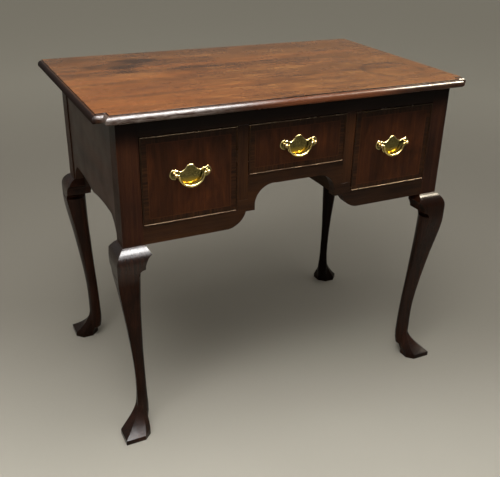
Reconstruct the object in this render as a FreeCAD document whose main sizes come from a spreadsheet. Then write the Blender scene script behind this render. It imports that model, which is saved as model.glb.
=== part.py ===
import FreeCAD, Part
import math
import os

import Sketcher
from FreeCAD import Vector

# A three-drawer lowboy on four cabriole legs, as a parametric assembly.
#
# Frame: +X to the right, +Y to the back, +Z up, in millimetres.  The origin is on the floor,
# under the middle of the whole piece of furniture.

SHEET = "Sizes"
BAIL_RINGS = 13
BAIL_SIDES = 12
LEG_SECTIONS = 17
SIDE_DRAWER_TAILS = 4
CENTRE_DRAWER_TAILS = 2
# How far the inner poles of a smooth quarter circle lie from its ends, as a share of its radius.
QUARTER_PULL = 0.5523
# How far a tool reaches past the faces that it cuts through, in millimetres.
PAST = 1
# Half a dovetail's width as a share of the pitch, and the bead's rounding as a share of its width.
TAIL_HALF = 0.3
BEAD_ROUND = 0.47
# The knee block's stepped ogee: distances from the corner as shares of the post's width, and how
# high its lower swell stands at its middle, as a share of the bead's height.
OGEE_FOOT = 0.55
OGEE_SWELL = 0.64
OGEE_SWELL_RISE = 0.72
OGEE_BEAD = 0.80
OGEE_STEP = 0.90
OGEE_HOLLOW = 0.92
# The middle of the ear's curve, as shares of its reach and of its height.
EAR_SWELL = (0.42, 0.62)
# The cabriole below its ankle: share of the ankle's height, how far the heel line moves out, and
# the width as a share of the ankle's.
HEEL_STATIONS = [
    (0.22, 2, 1.38),
    (0.40, -1.5, 1.4),
    (0.62, -1.5, 1.15),
    (1, 0, 1),
]
# The cabriole above its ankle: share of the way to the knee, and how far the arris, the heel line
# and the width have gone towards the knee's by there.
SHIN_STATIONS = [
    (0.15, 0.07, 0.16, 0.03),
    (0.33, 0.23, 0.40, 0.14),
    (0.52, 0.44, 0.61, 0.33),
    (0.66, 0.61, 0.77, 0.47),
    (0.79, 0.80, 0.89, 0.66),
    (0.90, 0.94, 0.96, 0.84),
    (0.96, 0.99, 0.99, 0.94),
    (1.00, 1.00, 1.00, 1.00),
]
# How full the leg's outer faces are at the heel, and how much of that is gone at the knee.
HEEL_FULLNESS = 0.85
FULLNESS_LOSS = 0.8
# Corners of the facets over the foot: distance out from the ankle's arris, and across as a share
# of half the ankle's width.
INSTEP_CORNERS = [(8, 0), (2, 1.3), (-9, 1.5), (-24, 0.8)]
ANKLE_CORNERS = [(-1, 0), (-5, 0.5), (-14, 0.9), (-26, 0.5)]
# Heights of those facets' lower, middle and upper corners, as shares of the ankle's height.
MIDDLE_RISE = 0.20
INSTEP_RISE = 0.38
ANKLE_RISE = 0.68
# How far the lower corners have gone from the pad to the instep, outwards and across.
MIDDLE_SHARES = (0.48, 0.38)
# The bail's bends from its pin to its lowest point, as shares of its half width and its drop.
BAIL_BENDS = [(0.93, 0.38), (0.62, 0.80)]
# How far the pins run into the bow, in radii of the bow, and how quickly the bow grows thick.
PIN_ROOT = 2.2
BAIL_SWELL = 4

# Driving dimensions in millimetres, except those named as counts, shares or slopes.
SIZES = {
    # top
    "top_length": 806,
    "top_depth": 491,
    "top_thickness": 16,
    "front_overhang": 22,
    "end_overhang": 39,
    "back_overhang": 37,
    "corner_notch": 19,
    "mould_width": 9,
    "mould_step": 2,
    "mould_radius": 8,
    "mould_under": 3,
    # case
    "case_floor": 442,
    "post_width": 40,
    "rail_thickness": 22,
    "top_rail_height": 32,
    "panel_thickness": 16,
    "panel_recess": 2,
    "panel_tongue": 5,
    "panel_corner_reach": 38,
    "panel_corner_rise": 40.5,
    "panel_middle_rise": 32.5,
    "panel_corner_hollow": 6,
    "panel_middle_hollow": 4,
    "back_thickness": 12,
    # front openings and the shaped apron
    "side_opening_height": 173,
    "centre_opening": 218,
    "divider_width": 22,
    "side_rail_height": 37,
    "centre_rail_height": 24,
    "divider_foot": 21,
    "apron_drop": 32.5,
    "apron_turn_in": 41,
    "ledge_inset": 3,
    "ledge_width": 19.5,
    "ledge_step": 14.5,
    "arch_rise": 37,
    "arch_flat": 45,
    "arch_swell": 13,
    "drop_swell": 7.5,
    # runners, guides, kickers, stops and glue blocks
    "runner_width": 24,
    "runner_height": 12,
    "guide_height": 24,
    "guide_rise": 7,
    "stop_length": 24,
    "stop_width": 12,
    "stop_height": 4.5,
    "block_size": 20,
    "block_gap": 2,
    "block_length": 40,
    # drawers
    "drawer_rest": 0.3,
    "drawer_side_gap": 0.8,
    "drawer_head_gap": 1.2,
    "drawer_back_gap": 38,
    "front_thickness": 20,
    "side_thickness": 10,
    "side_setdown": 8,
    "bottom_thickness": 7,
    "bottom_rise": 7,
    "groove_depth": 4,
    "bead_thickness": 3,
    "bead_depth": 6,
    "bead_proud": 1.6,
    "tail_length": 14,
    "tail_flare": 2.5,
    # brass handles
    "post_spacing": 64,
    "side_handle_lift": 8.5,
    "centre_handle_lift": 2,
    "plate_thickness": 1.6,
    "wing_radius": 10.5,
    "plate_peak": 16.5,
    "plate_drop": 24,
    "head_radius": 4.6,
    "head_bevel": 2.53,
    "head_back": 3.68,
    "head_stand": 7,
    "stem_radius": 2,
    "stem_clearance": 0.1,
    "neck_radius": 3,
    "nut_radius": 5,
    "nut_height": 3,
    "stem_tip": 1,
    "bail_width": 50,
    "bail_drop": 27,
    "bail_radius": 1.7,
    "bail_middle_radius": 2.7,
    "pin_radius": 1.4,
    "pin_clearance": 0.08,
    "pin_socket": 4,
    "pin_end_gap": 0.6,
    # cabriole legs
    "knee_reach": 19,
    "knee_roll": 31,
    "knee_height": 56,
    "knee_hook": 30,
    "knee_bead": 13,
    "knee_step": 1,
    "knee_inset": 0.02,
    "knee_width": 57,
    "ear_reach": 11,
    "ear_tip_drop": 15,
    "ear_slant": 8,
    "foot_reach": 29,
    "foot_width": 57,
    "foot_band": 11,
    "foot_side_cut": 15,
    "foot_heel_cut": 18,
    "ankle_height": 120,
    "ankle_width": 20.5,
    "ankle_set_back": 15.5,
    "ankle_depth": 29.5,
}


class Size:
    """A length that knows its value now and the sheet expression that gives it."""

    def __init__(self, text, value):
        self.text = text
        self.value = value

    def _join(self, other, sign, work, swap=False):
        other = other if isinstance(other, Size) else Size(repr(other), float(other))
        first, second = (other, self) if swap else (self, other)
        return Size(f"({first.text} {sign} {second.text})", work(first.value, second.value))

    def __add__(self, other):
        return self._join(other, "+", lambda a, b: a + b)

    def __radd__(self, other):
        return self._join(other, "+", lambda a, b: a + b, swap=True)

    def __sub__(self, other):
        return self._join(other, "-", lambda a, b: a - b)

    def __rsub__(self, other):
        return self._join(other, "-", lambda a, b: a - b, swap=True)

    def __mul__(self, other):
        return self._join(other, "*", lambda a, b: a * b)

    def __rmul__(self, other):
        return self._join(other, "*", lambda a, b: a * b, swap=True)

    def __truediv__(self, other):
        return self._join(other, "/", lambda a, b: a / b)

    def __rtruediv__(self, other):
        return self._join(other, "/", lambda a, b: a / b, swap=True)

    def __neg__(self):
        return 0 - self

    def __float__(self):
        return self.value


def number(value):
    return float(value)


def root(size):
    return Size(f"sqrt({size.text})", math.sqrt(size.value))


def fill_sheet(document):
    """Write the driving dimensions into the sheet and return them as named Size objects."""
    sheet = document.addObject("Spreadsheet::Sheet", SHEET)
    sizes = {}
    for row, (name, value) in enumerate(SIZES.items(), start=1):
        sheet.set(f"A{row}", name)
        sheet.set(f"B{row}", str(value))
        sheet.setAlias(f"B{row}", name)
        sizes[name] = Size(f"{SHEET}.{name}", float(value))
    document.recompute()
    return sizes


doc = FreeCAD.newDocument("Lowboy")
S = type("Sizes", (), fill_sheet(doc))
pieces = {}


def keep(label, item):
    """Give an object its node name and put it on the list of pieces to write."""
    item.Label = label
    pieces[label] = item
    return item


def bind(item, name, size):
    if isinstance(size, Size):
        item.setExpression(name, size.text)
    else:
        item.setExpression(name, repr(float(size)))


def place(item, x=0, y=0, z=0):
    for axis, size in (("x", x), ("y", y), ("z", z)):
        bind(item, f"Placement.Base.{axis}", size)


def box(label, low, high):
    """A board with its lowest corner at low and its highest corner at high."""
    item = doc.addObject("Part::Box", label)
    item.Label = label
    for name, start, end in zip(("Length", "Width", "Height"), low, high):
        bind(item, name, end - start)
    place(item, *low)
    return item


def cylinder(label, radius, height, x, y, z, turn=None):
    """A cylinder from (x, y, z) along +Z, or along the axis that turn = (axis, degrees) gives."""
    item = doc.addObject("Part::Cylinder", label)
    item.Label = label
    bind(item, "Radius", radius)
    bind(item, "Height", height)
    if turn:
        axis, degrees = turn
        item.Placement = FreeCAD.Placement(Vector(), FreeCAD.Rotation(axis, degrees))
    place(item, x, y, z)
    return item


def cut(label, base, *tools):
    """base less the tools."""
    item = doc.addObject("Part::Cut", label)
    item.Label = label
    item.Base = base
    if len(tools) == 1:
        item.Tool = tools[0]
    else:
        item.Tool = fuse(label + "_tools", *tools)
    return item


def fuse(label, *members):
    item = doc.addObject("Part::MultiFuse", label)
    item.Label = label
    item.Shapes = list(members)
    return item


def group(label, *members):
    """Separate solids of one kind that share a node."""
    item = doc.addObject("Part::Compound", label)
    item.Label = label
    item.Links = list(members)
    return item


def solid(label, shape):
    """A piece whose form needs Part's own functions, made about its own reference point."""
    item = doc.addObject("Part::Feature", label)
    item.Label = label
    item.Shape = shape
    return item


def arc_middle(start, end, rise):
    """The middle of the arc that stands rise to the left of its chord, seen from its start."""
    run = end[0] - start[0]
    climb = end[1] - start[1]
    slope = rise / root(run * run + climb * climb)
    return (start[0] + end[0]) / 2 - climb * slope, (start[1] + end[1]) / 2 + run * slope


def flat(point):
    return Vector(number(point[0]), number(point[1]), 0)


def draw(sketch, outline):
    """Draw one closed outline.

    Each entry is (u, v) for a straight line to that point from the one before, or
    (u, v, rise) for an arc that stands rise to the left of its chord, or to the right if
    rise is negative.  Every corner, and the middle of every arc, is held by its two distances
    from the sketch's origin.
    """
    held = []
    links = []
    tips = []
    for index, target in enumerate(outline):
        source = outline[index - 1]
        edge = sketch.GeometryCount
        # A sketch's arcs run anticlockwise, so one that bulges to the left is drawn backwards.
        backwards = len(target) == 3 and number(target[2]) > 0
        if len(target) == 3:
            middle = arc_middle(source, target, target[2])
            first, last = (target, source) if backwards else (source, target)
            arc = Part.Arc(flat(first), flat(middle), flat(last)).toShape()
            sketch.addGeometry(Part.ArcOfCircle(arc.Curve, *arc.ParameterRange), False)
            point = sketch.addGeometry(Part.Point(flat(middle)), True)
            links.append(Sketcher.Constraint("PointOnObject", point, 1, edge))
            held.append((point, 1, middle))
        else:
            sketch.addGeometry(Part.LineSegment(flat(source), flat(target)), False)
        tips.append((edge, 1, 2) if backwards else (edge, 2, 1))
        held.append((edge, tips[-1][1], target))
    for (edge, end, _), (following, _, start) in zip(tips, tips[1:] + tips[:1]):
        links.append(Sketcher.Constraint("Coincident", edge, end, following, start))
    names = []
    for edge, end, place_at in held:
        for kind, size in zip(("DistanceX", "DistanceY"), place_at):
            names.append((sketch.ConstraintCount + len(links), size))
            links.append(Sketcher.Constraint(kind, -1, 1, edge, end, number(size)))
    sketch.addConstraint(links)
    for name, size in names:
        bind(sketch, f"Constraints[{name}]", size)


def sketch_on(body, role, *outlines, height=None):
    """A sketch on one of the body's own origin planes."""
    sketch = body.newObject("Sketcher::SketchObject", body.Name + "_outline")
    plane = next(item for item in body.Origin.OriginFeatures if item.Role == role)
    sketch.AttachmentSupport = [(plane, "")]
    sketch.MapMode = "FlatFace"
    if height is not None:
        bind(sketch, "AttachmentOffset.Base.z", height)
    for outline in outlines:
        draw(sketch, outline)
    return sketch


def pad(body, sketch, thickness, reverse=False):
    feature = body.newObject("PartDesign::Pad", body.Name + "_pad")
    feature.Profile = sketch
    feature.Reversed = reverse
    bind(feature, "Length", thickness)
    sketch.Visibility = False
    return feature


def shaped_board(label, role, outlines, thickness, **position):
    """A board sawn to outline: a padded sketch in a body of its own.

    On XZ_Plane the board lies in front of its place, on YZ_Plane to the right of it and on
    XY_Plane above it.
    """
    body = doc.addObject("PartDesign::Body", label)
    body.Label = label
    pad(body, sketch_on(body, role, *outlines), thickness)
    place(body, **position)
    return body


def turned(label, profile, **position):
    """A piece turned about the Y axis, from the (radius, y) points of half its section."""
    body = doc.addObject("PartDesign::Body", label)
    body.Label = label
    sketch = sketch_on(body, "XY_Plane", profile)
    feature = body.newObject("PartDesign::Revolution", body.Name + "_turning")
    feature.Profile = sketch
    feature.ReferenceAxis = (sketch, ["V_Axis"])
    feature.Angle = 360
    sketch.Visibility = False
    place(body, **position)
    return body


def rectangle(left, low, right, high):
    return [(left, low), (right, low), (right, high), (left, high)]


def mirrored(half):
    """Close a symmetric outline whose right half is given from one end to the other.

    An arc keeps its rise on the other side, where it ends at the point that it started from.
    """
    whole = list(half)
    rise = ()
    for entry in reversed(half):
        whole.append((-entry[0], entry[1], *rise))
        rise = entry[2:]
    if number(half[-1][0]) == 0:
        del whole[len(half)]
    if number(half[0][0]) == 0:
        whole[0] = whole.pop()
    return whole


# Places that more than one piece uses.
half_length = S.top_length / 2
half_case = half_length - S.end_overhang
front = -(S.top_depth - S.front_overhang - S.foot_reach) / 2
top_front = front - S.front_overhang
top_back = top_front + S.top_depth
back = top_back - S.back_overhang
side_blade = S.case_floor + S.side_rail_height
rail_floor = side_blade + S.side_opening_height
case_top = rail_floor + S.top_rail_height
ledge_height = S.case_floor + S.apron_drop
arch_spring = ledge_height + S.ledge_step
arch_crown = arch_spring + S.arch_rise
centre_blade = arch_crown + S.centre_rail_height
runner_floor = side_blade - S.runner_height
post_inner = half_case - S.post_width
rail_back = front + S.rail_thickness
back_face = back - S.panel_recess - S.back_thickness
centre_half = S.centre_opening / 2
divider_outer = centre_half + S.divider_width
panel_outer = half_case - S.panel_recess
panel_inner = panel_outer - S.panel_thickness


# ---------------------------------------------------------------- top
def top_outline(inset):
    """The top's outline with its notched front corners, inset from the front and the ends."""
    end = half_length - inset
    notch_x = end - S.corner_notch
    front_y = top_front + inset
    notch_y = front_y + S.corner_notch
    return [
        (-notch_x, front_y),
        (notch_x, front_y),
        (notch_x, notch_y),
        (end, notch_y),
        (end, top_back),
        (-end, top_back),
        (-end, notch_y),
        (-notch_x, notch_y),
    ]


def edges_at(shape, height, skip_y):
    """Names of the edges that lie at a height, less those along the back."""
    names = []
    for index, edge in enumerate(shape.Edges, start=1):
        bound = edge.BoundBox
        level = abs(bound.ZMin - height) < 1e-4 and abs(bound.ZMax - height) < 1e-4
        along_back = abs(bound.YMin - skip_y) < 1e-4 and abs(bound.YMax - skip_y) < 1e-4
        if level and not along_back:
            names.append(f"Edge{index}")
    return names


def make_top():
    """A board with a thumb moulding on its front and ends: a step down, then a quarter round."""
    body = doc.addObject("PartDesign::Body", "top_board")
    moulded = S.top_thickness - S.mould_step
    lower = pad(body, sketch_on(body, "XY_Plane", top_outline(0)), moulded)
    doc.recompute()
    thumb = body.newObject("PartDesign::Fillet", "thumb_moulding")
    thumb.Base = (lower, edges_at(lower.Shape, number(moulded), number(top_back)))
    bind(thumb, "Radius", S.mould_radius)
    doc.recompute()
    under = body.newObject("PartDesign::Chamfer", "moulding_underside")
    under.Base = (thumb, edges_at(thumb.Shape, 0, number(top_back)))
    bind(under, "Size", S.mould_under)
    raised = sketch_on(body, "XY_Plane", top_outline(S.mould_width), height=moulded)
    pad(body, raised, S.mould_step)
    place(body, z=case_top)
    keep("top_board", body)


# ---------------------------------------------------------------- case
def make_apron():
    """The board under the drawers, sawn to a ledge and a flat-headed arch over the kneehole."""
    ledge_outer = centre_half + S.ledge_inset
    ledge_inner = ledge_outer - S.ledge_width
    foot_top = side_blade + S.divider_foot
    half = [
        (S.arch_flat, arch_crown),
        (ledge_inner, arch_spring, S.arch_swell),
        (ledge_inner, ledge_height),
        (ledge_outer, ledge_height),
        (centre_half + S.apron_turn_in, S.case_floor, -S.drop_swell),
        (post_inner, S.case_floor),
        (post_inner, side_blade),
        (divider_outer, side_blade),
        (divider_outer, foot_top),
        (centre_half, foot_top),
        (centre_half, centre_blade),
    ]
    keep("apron", shaped_board("apron", "XZ_Plane", [mirrored(half)], S.rail_thickness, y=rail_back))


def make_front_frame():
    keep("top_rail", box("top_rail", (-post_inner, front, rail_floor), (post_inner, rail_back, case_top)))
    for side, low in (("left", -divider_outer), ("right", centre_half)):
        keep(f"divider_{side}", box(
            f"divider_{side}",
            (low, front, side_blade + S.divider_foot),
            (low + S.divider_width, rail_back, rail_floor)))
        keep(f"partition_{side}", box(
            f"partition_{side}",
            (low, rail_back, runner_floor),
            (low + S.divider_width, back_face, case_top)))


def make_case_sides():
    """Side boards between the posts.  The lower edge rises from each post in a hollow corner
    and dips to a point at the middle."""
    near = front + S.post_width
    far = back - S.post_width
    middle = (near + far) / 2
    corner_height = S.case_floor + S.panel_corner_rise
    middle_height = S.case_floor + S.panel_middle_rise
    outline = [
        (near, case_top),
        (near, S.case_floor),
        (near + S.panel_tongue, S.case_floor),
        (near + S.panel_corner_reach, corner_height, S.panel_corner_hollow),
        (middle, middle_height, S.panel_middle_hollow),
        (far - S.panel_corner_reach, corner_height, S.panel_middle_hollow),
        (far - S.panel_tongue, S.case_floor, S.panel_corner_hollow),
        (far, S.case_floor),
        (far, case_top),
    ]
    for side, x in (("left", -panel_outer), ("right", panel_inner)):
        keep(f"side_{side}", shaped_board(f"side_{side}", "YZ_Plane", [outline], S.panel_thickness, x=x))
    keep("back_board", box(
        "back_board",
        (-post_inner, back_face, runner_floor),
        (post_inner, back_face + S.back_thickness, case_top)))


def pair(label, inner, outer, low_y, high_y, low_z, high_z):
    """Two boards, mirrored left and right, from x = inner to x = outer."""
    return [
        box(f"{label}_l", (-outer, low_y, low_z), (-inner, high_y, high_z)),
        box(f"{label}_r", (inner, low_y, low_z), (outer, high_y, high_z)),
    ]


def make_drawer_guides():
    """Runners under the drawer sides, guides beside them, kickers over them and stops."""
    outer_runner = (post_inner - S.runner_width, post_inner)
    inner_runner = (divider_outer, divider_outer + S.runner_width)
    centre_runner = (centre_half - S.runner_width, centre_half)
    tracks = {"outer": outer_runner, "inner": inner_runner, "centre": centre_runner}
    runners, kickers, stops = [], [], []
    stop_front = front + S.front_thickness + S.drawer_rest
    for name, (inner, outer) in tracks.items():
        blade = centre_blade if name == "centre" else side_blade
        runners += pair(f"runner_{name}", inner, outer, rail_back, back_face, blade - S.runner_height, blade)
        kickers += pair(f"kicker_{name}", inner, outer, rail_back, back_face, rail_floor, case_top)
        stop_inner = outer - S.stop_width if name == "inner" else inner
        stops += pair(f"stop_{name}", stop_inner, stop_inner + S.stop_width,
                      stop_front, stop_front + S.stop_length, blade, blade + S.stop_height)
    guide_low = side_blade + S.guide_rise
    guides = pair("guide", post_inner, panel_inner, front + S.post_width, back - S.post_width,
                  guide_low, guide_low + S.guide_height)
    keep("runners", group("runners", *runners))
    keep("kickers", group("kickers", *kickers))
    keep("guides", group("guides", *guides))
    keep("drawer_stops", group("drawer_stops", *stops))


def make_glue_blocks():
    """Blocks in the corner between the top and the side and back boards."""
    blocks = []
    low = case_top - S.block_size
    span = back - front - 2 * S.post_width
    for index in range(3):
        y = front + S.post_width + span * (2 * index + 1) / 6 - S.block_length / 2
        blocks += pair(f"side_block_{index}", post_inner + S.block_gap, panel_inner,
                       y, y + S.block_length, low, case_top)
    side_middle = (divider_outer + post_inner) / 2
    blocks += pair("back_block", side_middle - S.block_length / 2, side_middle + S.block_length / 2,
                   back_face - S.block_size, back_face, low, case_top)
    keep("glue_blocks", group("glue_blocks", *blocks))


# ---------------------------------------------------------------- legs
def at_corner(label, shape, right, rear):
    """Stand a shape made for the front left corner at any corner of the case.

    In the shape's own frame the case's corner is the origin, and the case lies on its +X, +Y
    side.
    """
    if right:
        shape = shape.mirror(Vector(), Vector(1, 0, 0))
    if rear:
        shape = shape.mirror(Vector(), Vector(0, 1, 0))
    item = solid(label, shape)
    place(item, x=half_case if right else -half_case, y=back if rear else front)
    keep(label, item)


def path_face(start, moves):
    """A face in the XZ plane, from moves that are ("line", end) or ("arc", middle, end)."""
    edges = []
    here = Vector(start[0], 0, start[1])
    for move in moves:
        points = [Vector(x, 0, z) for x, z in move[1:]]
        if move[0] == "arc":
            edges.append(Part.Arc(here, *points).toShape())
        else:
            edges.append(Part.LineSegment(here, points[0]).toShape())
        here = points[-1]
    return Part.Face(Part.Wire(edges))


def both_ways(face, reach):
    """What is left of a block after sawing the same profile from the front and from the side."""
    along_y = face.copy()
    along_y.translate(Vector(0, -reach, 0))
    first = along_y.extrude(Vector(0, 2 * reach, 0))
    second = first.mirror(Vector(), Vector(1, -1, 0))
    return first.common(second)


def roll_moves(floor_z):
    """The knee's rolled top, from the case's lower edge out and down to the face that it meets
    without an edge."""
    reach = number(S.knee_reach)
    fall = number(S.knee_roll)
    low = number(S.case_floor) - fall
    radius = (reach * reach + fall * fall) / (2 * reach)
    half_turn = math.asin(fall / radius) / 2
    middle = (radius - reach - radius * math.cos(half_turn), low + radius * math.sin(half_turn))
    return [
        ("arc", middle, (-reach, low)),
        ("line", (-reach, floor_z)),
    ]


def knee_block():
    """The square block of the knee: rolled outside, with the stepped ogee of the knee inside."""
    top = number(S.case_floor)
    inner = number(S.post_width)
    low = top - number(S.knee_height)
    hook = low + number(S.knee_hook)
    bead = low + number(S.knee_bead)
    moves = roll_moves(low) + [
        ("line", (inner * OGEE_FOOT, low)),
        ("arc", (inner * OGEE_SWELL, low + (bead - low) * OGEE_SWELL_RISE), (inner * OGEE_BEAD, bead)),
        ("line", (inner * OGEE_STEP, bead + number(S.knee_step))),
        ("arc", (inner * OGEE_HOLLOW, (bead + hook) / 2), (inner, hook)),
        ("line", (inner, top)),
        ("line", (0, top)),
    ]
    return both_ways(path_face((0, top), moves), 2 * inner)


def ear():
    """A knee ear beside the knee block, in the corner frame on the front side."""
    top = number(S.case_floor)
    inner = number(S.post_width)
    reach = number(S.ear_reach)
    tip = top - number(S.ear_tip_drop)
    low = top - number(S.knee_height) + number(S.knee_hook)
    swell_out, swell_up = EAR_SWELL
    outline = path_face((inner, top), [
        ("line", (inner, low)),
        ("arc", (inner + reach * swell_out, low + (tip - low) * swell_up), (inner + reach, tip)),
        ("line", (inner + reach - number(S.ear_slant), top)),
        ("line", (inner, top)),
    ])
    depth = number(S.rail_thickness)
    outline.translate(Vector(0, -number(S.knee_reach), 0))
    blank = outline.extrude(Vector(0, number(S.knee_reach) + depth, 0))
    floor = top - number(S.knee_height)
    rolled = path_face((0, top), roll_moves(floor) + [
        ("line", (depth, floor)), ("line", (depth, top)), ("line", (0, top))])
    rolled.translate(Vector(0, -2 * inner, 0))
    rolled = rolled.extrude(Vector(0, 4 * inner, 0)).mirror(Vector(), Vector(1, -1, 0))
    return blank.common(rolled)


def diagonal_point(out, across, z):
    """A point by its distance outwards along the corner's diagonal and across it."""
    return Vector((across - out) * math.sqrt(0.5), (-across - out) * math.sqrt(0.5), z)


def bend(*poles):
    """A smooth edge from the first pole to the last, drawn towards those between."""
    curve = Part.BezierCurve()
    curve.setPoles(list(poles))
    return curve.toShape()


def leg_section(z, out, heel, width, fullness):
    """A section with an arris on the outside and a round back.

    fullness says how far the two outer faces swell: 0 is flat, and 1 runs on into the back
    without an edge.
    """
    radius = width / 2
    centre = heel + radius
    span = out - centre
    length = math.hypot(span, radius)
    swell = fullness * length / 2 * math.tan(math.atan2(radius, span) / 2) * 4 / 3
    arris = diagonal_point(out, 0, z)
    back_point = diagonal_point(heel, 0, z)

    def face(sign, share):
        return diagonal_point(
            out - span * share + swell * radius / length,
            sign * (radius * share + swell * span / length), z)

    def side(sign):
        return diagonal_point(centre, sign * radius, z)

    def round_back(sign):
        pull = QUARTER_PULL * radius
        return (
            diagonal_point(centre - pull, sign * radius, z),
            diagonal_point(heel, sign * pull, z),
        )

    near, far = round_back(1), round_back(-1)
    return Part.Wire([
        bend(arris, face(1, 1 / 3), face(1, 2 / 3), side(1)),
        bend(side(1), *near, back_point),
        bend(back_point, *reversed(far), side(-1)),
        bend(side(-1), face(-1, 2 / 3), face(-1, 1 / 3), arris),
    ])


def leg_stations():
    """Heights of the cabriole from the heel to the knee block, each with the distances of its
    arris and heel line out along the diagonal, and its width."""
    knee_z = number(S.case_floor) - number(S.knee_height)
    ankle_z = number(S.ankle_height)
    out = -number(S.ankle_set_back)
    heel = out - number(S.ankle_depth)
    width = number(S.ankle_width)
    # The knee's outer faces run on flush from the block's, at 45 degrees to the diagonal.
    knee_out = number(S.knee_reach) * math.sqrt(2) - number(S.knee_inset)
    knee_width = number(S.knee_width)
    knee_heel = knee_out - knee_width
    stations = []
    for height, heel_shift, width_share in HEEL_STATIONS:
        stations.append((ankle_z * height, Vector(out, heel + heel_shift, width * width_share)))
    for height, out_share, heel_share, width_share in SHIN_STATIONS:
        stations.append((ankle_z + (knee_z - ankle_z) * height, Vector(
            out + (knee_out - out) * out_share,
            heel + (knee_heel - heel) * heel_share,
            width + (knee_width - width) * width_share)))
    return stations


def leg_shaft():
    """The cabriole from the knee block to the heel, whose lines run smoothly through its
    stations and whose outer faces grow rounder from the knee to the ankle."""
    heights, sizes = zip(*leg_stations())
    lines = Part.BSplineCurve()
    lines.interpolate(Points=list(sizes), Parameters=list(heights))
    low, high = heights[0], heights[-1]
    wires = []
    for index in range(LEG_SECTIONS):
        even = index / (LEG_SECTIONS - 1)
        # Sections lie closer together near the knee and the heel, where the lines bend most.
        share = (even + (1 - math.cos(math.pi * even)) / 2) / 2
        height = low + (high - low) * share
        out, heel, width = lines.value(height)
        wires.append(leg_section(height, out, heel, width, HEEL_FULLNESS - FULLNESS_LOSS * share))
    return Part.makeLoft(wires, True, True)


def foot_outline(z, corners):
    points = [diagonal_point(out, across, z) for out, across in corners]
    points += [diagonal_point(out, -across, z) for out, across in reversed(corners[1:])]
    return Part.makePolygon([*points, points[0]])


def leg_foot():
    """The squared pad with its pointed toe, and the facets that rise from it to the ankle."""
    reach = number(S.foot_reach)
    inner = reach - number(S.foot_width)
    side_cut = number(S.foot_side_cut)
    heel_cut = number(S.foot_heel_cut)
    plan = [
        (reach, reach),
        (reach, inner + side_cut),
        (reach - side_cut, inner),
        (inner + heel_cut, inner),
    ]
    pad_corners = []
    for x, y in plan:
        pad_corners.append(((x + y) * math.sqrt(0.5), (x - y) * math.sqrt(0.5)))
    band = number(S.foot_band)
    out = -number(S.ankle_set_back)
    half = number(S.ankle_width) / 2
    ankle_z = number(S.ankle_height)
    instep = [(out + shift, half * share) for shift, share in INSTEP_CORNERS]
    ankle = [(out + shift, half * share) for shift, share in ANKLE_CORNERS]
    middle = []
    for low, high in zip(pad_corners, instep):
        middle.append(tuple(a + (b - a) * share for a, b, share in zip(low, high, MIDDLE_SHARES)))
    band_solid = Part.makeLoft([foot_outline(0, pad_corners), foot_outline(band, pad_corners)], True, True)
    rise = Part.makeLoft([
        foot_outline(band, pad_corners),
        foot_outline(ankle_z * MIDDLE_RISE, middle),
        foot_outline(ankle_z * INSTEP_RISE, instep),
        foot_outline(ankle_z * ANKLE_RISE, ankle),
    ], True, False)
    return band_solid, rise


def make_legs():
    """Each leg is one length of wood, from the post in the case's corner to the foot."""
    top = number(S.case_floor)
    size = number(S.post_width)
    post = Part.makeBox(size, size, number(case_top) - top, Vector(0, 0, top))
    leg = post.fuse([knee_block(), leg_shaft(), *leg_foot()]).removeSplitter()
    knee_ear = ear()
    side_ear = knee_ear.mirror(Vector(), Vector(1, -1, 0))
    for row, rear in (("front", False), ("back", True)):
        for side, right in (("left", False), ("right", True)):
            name = f"{row}_{side}"
            at_corner(f"leg_{name}", leg, right, rear)
            at_corner(f"knee_ear_{name}_side", side_ear, right, rear)
            if not rear:
                at_corner(f"knee_ear_{name}_front", knee_ear, right, rear)


# ---------------------------------------------------------------- drawers
def drawer_side_outline(low, high, tail_front, joint, rear, tails):
    """A drawer side seen from the end of the case, with dovetails on its front end."""
    pitch = (high - low) / tails
    flare = S.tail_flare
    outline = [(rear, low), (rear, high), (joint, high)]
    for index in range(tails):
        middle = high - pitch * (index + 0.5)
        half = pitch * TAIL_HALF
        outline += [
            (joint, middle + half - flare),
            (tail_front, middle + half),
            (tail_front, middle - half),
            (joint, middle - half + flare),
        ]
    outline.append((joint, low))
    return outline


def make_drawer(name, left, right, floor, handle_z, tails):
    """One drawer between the opening's edges: dovetailed box, cockbead and brass handle."""
    x0 = left + S.drawer_side_gap
    x1 = right - S.drawer_side_gap
    z0 = floor + S.drawer_rest
    z1 = rail_floor - S.drawer_head_gap
    joint = front + S.front_thickness
    rear = back_face - S.drawer_back_gap
    side_top = z1 - S.side_setdown
    board_low = z0 + S.bottom_rise
    board_high = board_low + S.bottom_thickness
    inner0 = x0 + S.side_thickness
    inner1 = x1 - S.side_thickness

    bottom = box(
        f"{name}_bottom",
        (inner0 - S.groove_depth, joint - S.groove_depth, board_low),
        (inner1 + S.groove_depth, rear, board_high))
    keep(f"{name}_bottom", bottom)
    keep(f"{name}_back", box(
        f"{name}_back", (inner0, rear - S.side_thickness, board_high), (inner1, rear, side_top)))

    outline = drawer_side_outline(z0, side_top, joint - S.tail_length, joint, rear, tails)
    sides = []
    for label, x in (("side_left", x0), ("side_right", inner1)):
        blank = shaped_board(f"{name}_{label}_blank", "YZ_Plane", [outline], S.side_thickness, x=x)
        sides.append(keep(f"{name}_{label}", cut(f"{name}_{label}", blank, bottom)))

    bead = make_cockbead(name, x0, x1, z0, z1)
    centre = (left + right) / 2
    holes = []
    for label, x in (("l", centre - S.post_spacing / 2), ("r", centre + S.post_spacing / 2)):
        holes.append(cylinder(
            f"{name}_hole_{label}", S.stem_radius + S.stem_clearance, S.front_thickness,
            x, joint, handle_z, turn=(Vector(1, 0, 0), 90)))
    blank = box(f"{name}_front_blank", (x0, front, z0), (x1, joint, z1))
    keep(f"{name}_front", cut(f"{name}_front", blank, bead, bottom, *sides, *holes))
    make_handle(name, centre, handle_z)


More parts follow.
